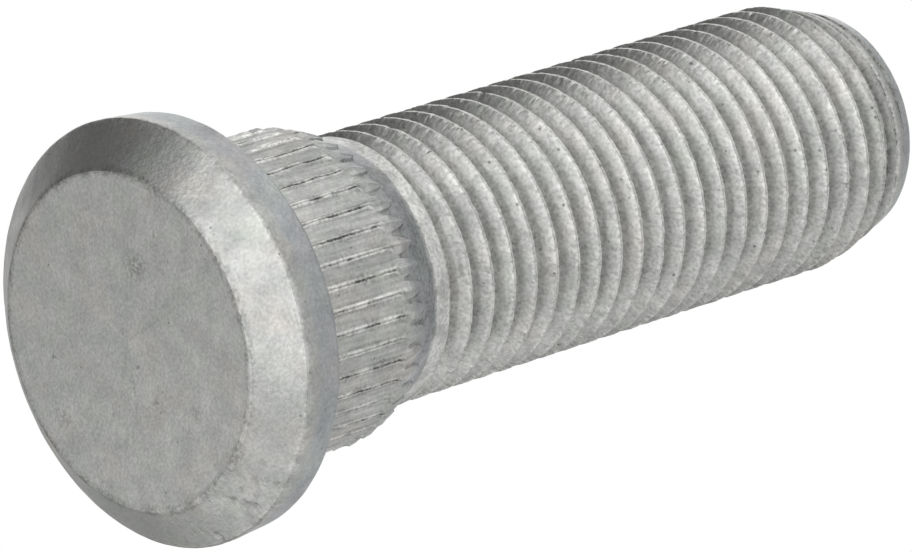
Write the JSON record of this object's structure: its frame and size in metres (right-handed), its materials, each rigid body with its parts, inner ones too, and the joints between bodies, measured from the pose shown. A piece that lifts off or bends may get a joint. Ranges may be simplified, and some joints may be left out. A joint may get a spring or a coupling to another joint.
{
  "type": "wheel stud",
  "caption": "Press-in wheel stud: chamfered disc head, straight-serrated collar for a hub flange, plain neck and a metric fine thread for a wheel nut.",
  "frame": {"origin": "centre of the head's outer face, on the stud's axis", "axes": "+Z along the stud's axis from the head to the thread's tip; +X passes midway between two serrations"},
  "size_m": [0.0212, 0.0212, 0.0494],
  "materials": {
    "zinc_steel": "forged and thread-rolled steel with a thin, dull zinc coat, pitted and worn bright on the edges"
  },
  "bodies": {
    "root": {"wheel_stud": "zinc_steel"}
  },
  "joints": []
}
